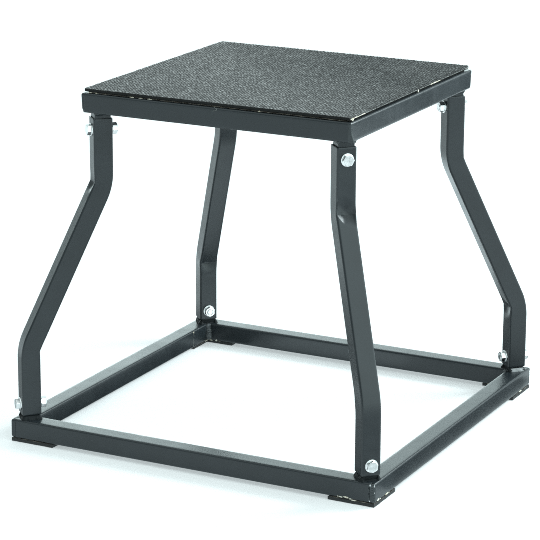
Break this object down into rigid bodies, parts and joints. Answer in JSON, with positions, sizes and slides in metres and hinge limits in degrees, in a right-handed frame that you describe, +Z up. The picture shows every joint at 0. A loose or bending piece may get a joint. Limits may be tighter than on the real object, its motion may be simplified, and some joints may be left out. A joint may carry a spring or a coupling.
{
  "type": "plyo box",
  "caption": "Fixed-height steel jump box: square rubber-topped platform on bolted S-bent square-tube legs, splayed to a wider welded base ring with rubber foot pads.",
  "frame": {"origin": "on the floor, under the centre of the base ring", "axes": "+Z up; X and Y along the rails of the two square rings, so the legs stand on the diagonals"},
  "size_m": [0.5144, 0.5144, 0.457],
  "materials": {
    "black_powder_coat": "satin black powder coat with a fine texture",
    "weld_bead": "weld bead under the same black powder coat",
    "zinc_plated_steel": "bright zinc plate",
    "tread_rubber": "pebble-grained black rubber, faintly grey",
    "foot_rubber": "plain black rubber with cut edges",
    "adhesive": "dried cream contact adhesive"
  },
  "bodies": {
    "root": {"adhesive_bead": "adhesive", "base_corner_welds": "weld_bead", "base_rail_back": "black_powder_coat", "base_rail_front": "black_powder_coat", "base_rail_left": "black_powder_coat", "base_rail_right": "black_powder_coat", "base_spigot_left": "black_powder_coat", "base_spigot_near": "black_powder_coat", "base_spigot_rear": "black_powder_coat", "base_spigot_right": "black_powder_coat", "base_spigot_welds": "weld_bead", "deck_plate": "black_powder_coat", "deck_stitch_welds": "weld_bead", "foot_adhesive": "adhesive", "foot_pad_left": "foot_rubber", "foot_pad_near": "foot_rubber", "foot_pad_rear": "foot_rubber", "foot_pad_right": "foot_rubber", "leg_left": "black_powder_coat", "leg_near": "black_powder_coat", "leg_rear": "black_powder_coat", "leg_right": "black_powder_coat", "lower_head_washers": "zinc_plated_steel", "lower_hex_bolts": "zinc_plated_steel", "lower_nut_washers": "zinc_plated_steel", "lower_nuts": "zinc_plated_steel", "mat_adhesive": "adhesive", "top_corner_welds": "weld_bead", "top_rail_back": "black_powder_coat", "top_rail_front": "black_powder_coat", "top_rail_left": "black_powder_coat", "top_rail_right": "black_powder_coat", "top_spigot_left": "black_powder_coat", "top_spigot_near": "black_powder_coat", "top_spigot_rear": "black_powder_coat", "top_spigot_right": "black_powder_coat", "top_spigot_welds": "weld_bead", "tread_mat": "tread_rubber", "upper_head_washers": "zinc_plated_steel", "upper_hex_bolts": "zinc_plated_steel", "upper_nut_washers": "zinc_plated_steel", "upper_nuts": "zinc_plated_steel"}
  },
  "joints": []
}
